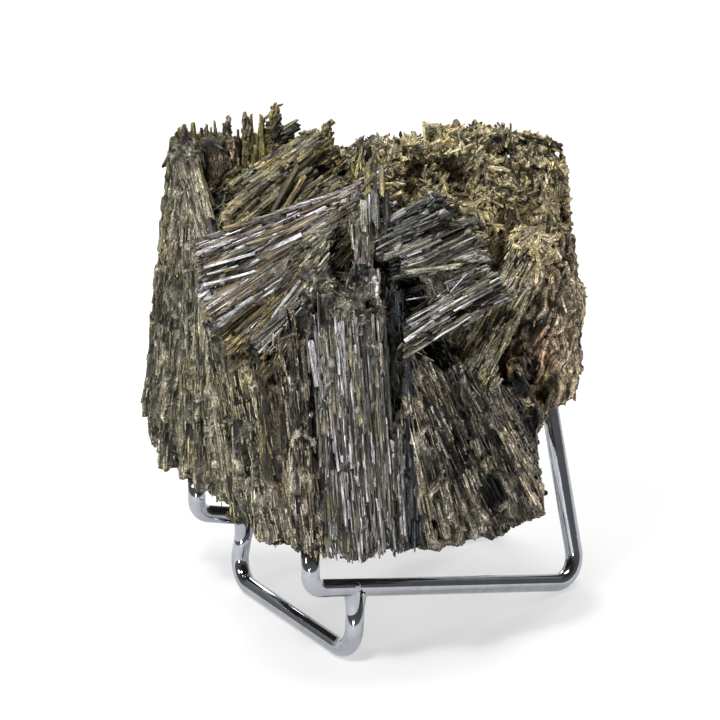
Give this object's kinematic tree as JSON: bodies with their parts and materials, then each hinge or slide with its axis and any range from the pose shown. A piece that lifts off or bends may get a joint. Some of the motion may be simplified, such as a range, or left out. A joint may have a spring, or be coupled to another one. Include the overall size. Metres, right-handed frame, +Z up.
{
  "type": "epidote crystal specimen on a wire display stand",
  "caption": "Dark olive cluster of grown-together bladed epidote crystals resting on a bent chrome wire display stand.",
  "frame": {"origin": "centre of the bounding box's bottom, on the surface that the stand rests on", "axes": "+Z up, -Y towards the viewer who faces the specimen's display side, +X to that viewer's right"},
  "size_m": [0.1194, 0.0988, 0.1375],
  "materials": {
    "epidote_stone": "olive to black-green striated crystal, vitreous on fresh faces and matte tan where weathered",
    "chrome": "bright polished chrome plate"
  },
  "bodies": {
    "root": {"epidote": "epidote_stone", "frame_wire": "chrome", "front_leg": "chrome"}
  },
  "joints": []
}
